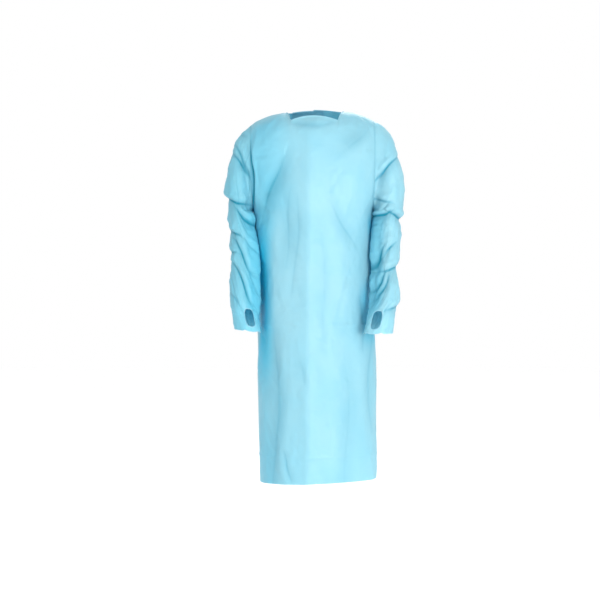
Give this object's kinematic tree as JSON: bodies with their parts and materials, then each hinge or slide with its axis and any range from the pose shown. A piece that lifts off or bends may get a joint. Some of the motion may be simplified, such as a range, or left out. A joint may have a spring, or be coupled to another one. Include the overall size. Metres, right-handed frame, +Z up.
{
  "type": "plastic protective gown",
  "caption": "Thin film isolation gown, worn shape: long sleeves with thumb loops, wide neck, back lap closed by a waist tie.",
  "frame": {"origin": "midway between the shoulder seams' neck ends, where the gown hangs on its wearer's shoulders", "axes": "+Z up, the front faces -Y, the wearer's left is at +X"},
  "size_m": [0.5634, 0.3151, 1.1769],
  "materials": {
    "film": "clear light blue polyethylene film, embossed, satin",
    "tie_film": "the same film, gathered into a ribbon",
    "tab_film": "the same film, bonded double"
  },
  "bodies": {
    "root": {"front": "film", "back_left": "film", "back_right": "film", "sleeve_left": "film", "sleeve_right": "film", "waist_tie_left": "tie_film", "waist_tie_right": "tie_film", "waist_knot": "tie_film", "tie_end_left": "tie_film", "tie_end_right": "tie_film", "neck_tab": "tab_film"}
  },
  "joints": []
}
